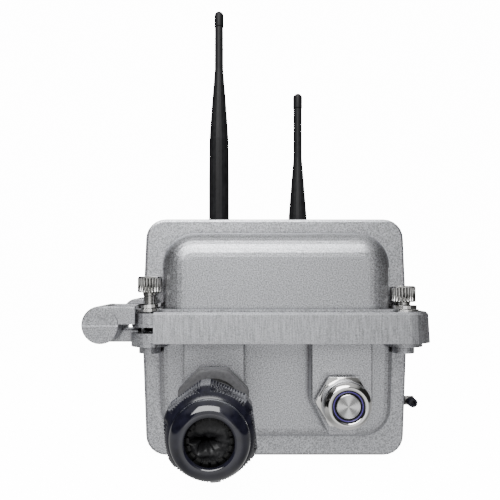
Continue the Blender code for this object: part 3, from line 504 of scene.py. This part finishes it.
def gland_insert(material):
    """The rubber sealing plug: a lumpy face squeezed shut round an uneven hole."""
    hole_x, hole_y, hole_half_x, hole_half_y = -1.5 * MM, -1.0 * MM, 3.4 * MM, 1.7 * MM
    rim_r, crown, highest, shoulder, back = 9.1 * MM, 49.0 * MM, 49.35 * MM, 46.0 * MM, 36.1 * MM
    lump_x, lump_y, lump_r, lump_rise = -1.6 * MM, -3.9 * MM, 1.3 * MM, 0.9 * MM
    droop_depth, droop_start, dip_depth, dip_end = 2.2 * MM, 0.72, 1.5 * MM, 0.35
    lump_falloff = 2.718
    segments, rows = 96, 22

    def uneven(x, y, scale):
        return noise.noise(Vector((x, y, 0.0)) / (scale * MM) + Vector((3.1, 7.7, 1.9)))

    def hole(angle, spread=1.0):
        wobble = 1.0 + 0.75 * uneven(6 * MM * cos(angle), 6 * MM * sin(angle), 3.2)
        x = hole_x + hole_half_x * spread * wobble * cos(angle)
        return x, hole_y + hole_half_y * spread * wobble * sin(angle)

    def face_height(x, y, fraction):
        """The face's height at a point, fraction of the way from the hole to the rim."""
        droop = droop_depth * max(0.0, fraction - droop_start) / (1 - droop_start)
        dip = dip_depth * (1 - min(1.0, fraction / dip_end)) ** 2
        near = ((x - lump_x) ** 2 + (y - lump_y) ** 2) / lump_r**2
        relief = 0.45 * MM * uneven(x, y, 2.0) + 0.22 * MM * uneven(x, y, 0.7)
        return min(highest, crown - droop - dip + relief + lump_rise * lump_falloff**-near)

    def ring_at(fraction, height=None, spread=1.0):
        ring = []
        for step in range(segments):
            angle = 2 * pi * step / segments
            inner_x, inner_y = hole(angle, spread)
            x = inner_x + (rim_r * cos(angle) - inner_x) * fraction
            y = inner_y + (rim_r * sin(angle) - inner_y) * fraction
            ring.append((x, y, face_height(x, y, fraction) if height is None else height))
        return ring

    rings = [ring_at(1.0, back), ring_at(1.0, shoulder)]
    rings += [ring_at(1.0 - step / rows) for step in range(rows + 1)]
    rings += [ring_at(0.0, shoulder, 0.8), ring_at(0.0, 43.5 * MM, 0.6), ring_at(0.0, back, 0.55)]
    points, faces = skin(rings, closed_ring=True)
    matrix = along_y(GLAND_X, GLAND_Z, PAD_Y)
    made = surface_object("gland_insert_lumpy", points, faces, material, matrix, 60)
    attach(made, "gland_inner")
    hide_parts("gland_insert")


def turned_piece(name, node, body, profile, material, x, angle=35):
    """A closed profile of (radius, height) in mm, turned about a front port's axis."""
    segments = 96
    rings = turned([(radius * MM, height * MM) for radius, height in profile], segments)
    points, faces = skin(rings, closed_ring=True)
    made = surface_object(name, points, faces, material, along_y(x, GLAND_Z, PAD_Y), angle)
    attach(made, body)
    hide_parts(node)


def gland_body(material):
    """A barrel through the wall, then an exposed thread that flares into a collar behind the cap."""
    thread_r, root_r, start, pitch, turns = 10.55, 10.1, 10.4, 1.5, 10
    profile = [(7.0, -17.0), (9.4, -17.0), (9.95, -16.4), (9.95, 9.7), (10.4, 9.7), (thread_r, 9.9)]
    for turn in range(turns):
        profile += [(thread_r, start + pitch * turn), (root_r, start + pitch / 2 + pitch * turn)]
    profile += [(thread_r, 25.9), (10.6, 26.8), (13.0, 29.4), (13.6, 30.4), (13.75, 31.2), (13.75, 33.6)]
    profile += [(13.4, 34.3), (12.3, 34.35), (12.3, 45.0), (11.25, 45.0), (11.25, 31.0), (7.0, 28.0)]
    turned_piece("gland_body_collared", "gland_body", "base", profile, material, GLAND_X)


# ---------------------------------------------------------------- push button


def push_button(materials, x):
    """A polished bezel, a black surround with a lit groove, and a turned cap with a bright chamfer."""
    bezel = [(6.32, -20.0), (7.85, -20.0), (7.85, 3.9), (9.15, 3.9), (9.33, 4.1), (9.33, 9.2), (9.2, 9.6)]
    bezel += [(8.85, 10.25), (8.35, 10.8), (7.85, 11.22), (7.6, 11.38), (7.3, 11.45)]
    bezel += [(6.6, 11.4), (6.32, 11.2)]
    steel = materials["stainless"]
    turned_piece("bezel_polished", "button_bezel", "base", bezel, steel, x)
    surround = [(5.02, 6.1), (6.2, 6.1), (6.2, 10.75), (6.1, 10.88), (5.8, 10.88), (5.72, 10.8)]
    surround += [(5.72, 9.5), (5.4, 9.5), (5.4, 10.8), (5.3, 10.88), (5.1, 10.88), (5.02, 10.8)]
    black = materials["black_nylon"]
    turned_piece("surround_grooved", "button_surround", "base", surround, black, x)
    ring = [(5.42, 9.55), (5.7, 9.55), (5.7, 10.78), (5.62, 10.85), (5.5, 10.85), (5.42, 10.78)]
    violet = materials["light_ring"]
    turned_piece("light_ring_slim", "button_light_ring", "base", ring, violet, x)
    cap = [(0.02, -16.0), (2.0, -16.0), (2.0, 8.6), (4.5, 8.6), (4.69, 8.8), (4.69, 10.8), (4.62, 10.98)]
    cap += [(4.38, 11.18), (4.2, 11.15), (4.15, 11.08), (3.0, 11.08), (1.5, 11.08), (0.02, 11.08)]
    face = spun_steel("spun_steel", x / MM, GLAND_Z / MM)
    turned_piece("button_cap_turned", "button_cap", "button", cap, face, x, angle=20)


# ---------------------------------------------------------------- nuts


def chamfered_nut(name, node, size, material, x, turn=0.0, chamfer=0.9 * MM):
    """A polygon nut about a front port's axis, its front corners cut back by a cone.

    size is the number of sides, the width across flats, the back, the front and the bore's radius.
    """
    sides, across, low, high, bore = size
    apothem = across / 2
    corner = apothem / cos(pi / sides)
    tilt = radians(turn)
    per_side = 8

    def level(height, limit, shrink=0.0):
        ring = []
        for side in range(sides):
            for step in range(per_side):
                angle = 2 * pi / sides * (step / per_side - 0.5)
                radius = min((apothem - shrink) / cos(angle), limit)
                whole = angle + 2 * pi * side / sides + tilt
                ring.append((radius * cos(whole), radius * sin(whole), height))
        return ring

    rings = [level(low, corner, 0.3 * MM), level(low + 0.3 * MM, corner), level(high - chamfer, corner)]
    rings += [level(high - chamfer * 0.45, corner - 0.35 * chamfer)]
    rings += [level(high - 0.12 * MM, apothem, 0.05 * MM), level(high, apothem - 0.35 * MM, 0.3 * MM)]
    rings += [level(high, bore), level(low, bore)]
    points, faces = skin(rings, closed_ring=True)
    made = surface_object(name, points, faces, material, along_y(x, GLAND_Z, PAD_Y), 40)
    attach(made, "base")
    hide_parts(node)


# ---------------------------------------------------------------- cover screws


def cover_screw(corner, material):
    """A socket-head screw with a knurled head, a plain neck and a threaded tip."""
    node = f"screw_{corner}"
    low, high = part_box(node)
    x, y, tip, top = (low[0] + high[0]) / 2, (low[1] + high[1]) / 2, low[2], high[2]
    head_h, head_r, neck_r, thread_r, collar_r = 6.6 * MM, 5.0 * MM, 2.3 * MM, 3.0 * MM, 2.9 * MM
    knurls, knurl_depth = 24, 0.6 * MM
    thread_turns, pitch, thread_depth = 6, 0.52 * MM, 0.3 * MM
    socket_r, socket_depth = 2.5 * MM, 3.2 * MM
    segments = knurls * 6
    seat = top - head_h

    def knurled(radius, height, angle):
        if radius < head_r - 0.05 * MM or not seat + 0.5 * MM < height < top - 0.9 * MM:
            return radius
        return radius - knurl_depth * (1 - abs(sin(knurls * angle / 2)))

    profile = [(0.02 * MM, tip), (thread_r - 0.8 * MM, tip), (thread_r - 0.1 * MM, tip + 0.6 * MM)]
    for step in range(thread_turns):
        start = tip + 0.7 * MM + step * pitch
        profile += [(thread_r, start), (thread_r - thread_depth, start + pitch / 2)]
    profile += [(thread_r, tip + 3.95 * MM), (neck_r, tip + 4.0 * MM), (neck_r, seat - 1.3 * MM)]
    profile += [(collar_r, seat - 1.1 * MM), (collar_r, seat)]
    profile += [(head_r - 0.35 * MM, seat), (head_r, seat + 0.3 * MM)]
    profile += [(head_r, seat + 0.55 * MM), (head_r, top - 0.95 * MM), (head_r, top - 0.7 * MM)]
    profile += [(head_r - 0.35 * MM, top - 0.2 * MM), (head_r - 0.8 * MM, top), (2.95 * MM, top)]
    rings = turned(profile, segments, knurled)
    for height in (top - 0.3 * MM, top - socket_depth):
        ring = []
        for step in range(segments):
            angle = 2 * pi * step / segments
            local = (angle + pi / 6) % (pi / 3) - pi / 6
            radius = socket_r / cos(local)
            ring.append((radius * cos(angle), radius * sin(angle), height))
        rings.append(ring)
    rings.append([(px * 0.02, py * 0.02, top - 3.6 * MM) for px, py, _ in rings[-1]])
    points, faces = skin(rings)
    matrix = Matrix.Translation((x, y, 0))
    made = surface_object(f"cover_screw_{corner}", points, faces, material, matrix, 40)
    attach(made, f"bolt_{corner}")
    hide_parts(node)


# ---------------------------------------------------------------- antennas


def whip_cap(side, material):
    """The round-topped cap at an antenna's tip."""
    low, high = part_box(f"antenna_{side}_tip")
    x, y = (low[0] + high[0]) / 2, (low[1] + high[1]) / 2
    radius, dome_h, steps = 2.95 * MM, 2.6 * MM, 8
    profile = [(2.9 * MM, low[2]), (radius, low[2] + 0.4 * MM), (radius, high[2] - dome_h)]
    for step in range(1, steps + 1):
        turn = radians(90 * step / steps)
        profile.append((max(radius * cos(turn), 0.02 * MM), high[2] - dome_h + dome_h * sin(turn)))
    points, faces = skin(turned(profile, 40))
    matrix = Matrix.Translation((x, y, 0))
    made = surface_object(f"whip_cap_{side}", points, faces, material, matrix, 50)
    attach(made, f"whip_{side}")
    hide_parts(f"antenna_{side}_tip")


# ---------------------------------------------------------------- stage, lights and camera


def floor_and_backdrop():
    """One white sheet that lies flat and curves up far behind the object. It lights nothing by itself."""
    material = bpy.data.materials.new("pale_paper")
    material.use_nodes = True
    shader = material.node_tree.nodes["Principled BSDF"]
    shader.inputs["Base Color"].default_value = (0.9, 0.9, 0.9, 1.0)
    shader.inputs["Roughness"].default_value = 0.9
    shader.inputs["Emission Color"].default_value = (1.0, 1.0, 1.0, 1.0)
    shader.inputs["Emission Strength"].default_value = 14.0
    width, front, back, height, bend = 4.0, -2.0, 1.6, 3.0, 0.8
    profile = [(front, 0.0), (back - bend, 0.0)]
    steps = 12
    for step in range(1, steps + 1):
        turn = radians(90 * step / steps)
        profile.append((back - bend + bend * sin(turn), bend * (1 - cos(turn))))
    profile.append((back, height))
    points, faces = [], []
    for y, z in profile:
        points += [(-width, y, z), (width, y, z)]
    for i in range(len(profile) - 1):
        faces.append((2 * i, 2 * i + 1, 2 * i + 3, 2 * i + 2))
    sheet = surface_object("pale_floor", points, faces, material)
    for kind in ("diffuse", "glossy", "transmission", "volume_scatter", "shadow"):
        setattr(sheet, f"visible_{kind}", False)


def area_light(name, location, target, size, power):
    """A white rectangle that shines towards a point."""
    data = bpy.data.lights.new(name, "AREA")
    data.shape = "RECTANGLE"
    data.size, data.size_y = size
    data.energy = power
    made = bpy.data.objects.new(name, data)
    made.location = location
    made.rotation_euler = (Vector(target) - Vector(location)).to_track_quat("-Z", "Y").to_euler()
    bpy.context.scene.collection.objects.link(made)


def surroundings():
    """The studio as a soft sphere, bright above and below a dark horizon, with darker sides.

    Each glow is an axis, where it starts and ends along the sphere's unit direction, and its strength.
    A negative strength darkens.
    """
    base, least = 0.03, 0.02
    ceiling = ("Z", 0.3, 0.8, 0.6)
    floor_near_horizon = ("Z", 0.03, -0.12, 0.82)
    floor_underneath = ("Z", -0.3, -0.8, -0.25)
    behind_camera = ("Y", -0.55, -1.0, 0.16)
    left_flag = ("X", -0.12, -0.6, -0.3)
    right_flag = ("X", 0.35, 0.95, -0.5)
    world = bpy.data.worlds.new("studio")
    world.use_nodes = True
    tree = world.node_tree

    def maths(operation, a, b):
        node = tree.nodes.new("ShaderNodeMath")
        node.operation = operation
        tree.links.new(a, node.inputs[0])
        if isinstance(b, float):
            node.inputs[1].default_value = b
        else:
            tree.links.new(b, node.inputs[1])
        return node.outputs[0]

    def glow(axis, start, end, at_start, at_end):
        node = tree.nodes.new("ShaderNodeMapRange")
        node.interpolation_type = "SMOOTHSTEP"
        tree.links.new(parts.outputs[axis], node.inputs["Value"])
        limits = {"From Min": start, "From Max": end, "To Min": at_start, "To Max": at_end}
        for name, number in limits.items():
            node.inputs[name].default_value = number
        return node.outputs["Result"]

    coordinates = tree.nodes.new("ShaderNodeTexCoord")
    parts = tree.nodes.new("ShaderNodeSeparateXYZ")
    tree.links.new(coordinates.outputs["Generated"], parts.inputs[0])
    axis, start, end, strength = ceiling
    total = glow(axis, start, end, base, strength)
    rest = (floor_near_horizon, floor_underneath, behind_camera, left_flag, right_flag)
    for axis, start, end, strength in rest:
        total = maths("ADD", total, glow(axis, start, end, 0.0, strength))
    background = tree.nodes["Background"]
    background.inputs["Color"].default_value = (1.0, 1.0, 1.0, 1.0)
    tree.links.new(maths("MAXIMUM", total, least), background.inputs["Strength"])
    bpy.context.scene.world = world


def lights():
    aim = (0.0, -0.02, 0.06)
    area_light("overhead", (-0.16, -0.85, 0.95), aim, (1.0, 0.95), 26.0)
    area_light("front", (-0.05, -1.2, 0.2), aim, (0.7, 0.7), 1.0)


def camera():
    data = bpy.data.cameras.new("camera")
    data.lens = CAMERA_LENS
    data.sensor_width = 36.0
    data.shift_x, data.shift_y = CAMERA_SHIFT
    data.clip_start = 0.01
    made = bpy.data.objects.new("camera", data)
    made.location = CAMERA_PLACE
    made.rotation_euler = (radians(90), 0, 0)
    bpy.context.scene.collection.objects.link(made)
    bpy.context.scene.camera = made


# ---------------------------------------------------------------- the object


def dress_nodes(materials):
    """Each CAD node takes the material of its slot, and shades smooth except along its edges."""
    edge_angle = radians(32)
    slots = {part["node"]: part["material_slot"] for part in frame["record"]["subparts"]}
    for name, node in nodes.items():
        node.data.materials.clear()
        node.data.materials.append(materials[slots[name]])
        node.data.shade_smooth()
        node.data.set_sharp_from_angle(angle=edge_angle)
        weighted = node.modifiers.new("weighted_normals", "WEIGHTED_NORMAL")
        weighted.keep_sharp = True


def front_nuts(materials, button_x):
    """The gland's octagon nut and the button's hexagon nut."""
    size = (8, 27.2 * MM, 2.1 * MM, 9.3 * MM, 10.3 * MM)
    nylon = materials["grey_nylon"]
    chamfered_nut("octagon_nut", "gland_nut", size, nylon, GLAND_X)
    size = (6, 19.4 * MM, 1.3 * MM, 3.5 * MM, 8.2 * MM)
    steel = materials["stainless"]
    chamfered_nut("button_hex_nut", "button_nut", size, steel, button_x, 30, 0.5 * MM)


def main():
    materials = make_materials()
    dress_nodes(materials)
    gland_cap(materials["black_nylon"])
    gland_insert(materials["seal_rubber"])
    matte = matte_nylon()
    gland_body(matte)
    nodes["gland_claw"].data.materials[0] = matte
    button_x = centre("button_bezel", 0)
    front_nuts(materials, button_x)
    push_button(materials, button_x)
    for corner in ("front_left", "front_right", "rear_left", "rear_right"):
        cover_screw(corner, materials["nickel"])
    for side in ("left", "right"):
        whip_cap(side, materials["whip_jacket"])
    floor_and_backdrop()
    surroundings()
    lights()
    camera()


main()
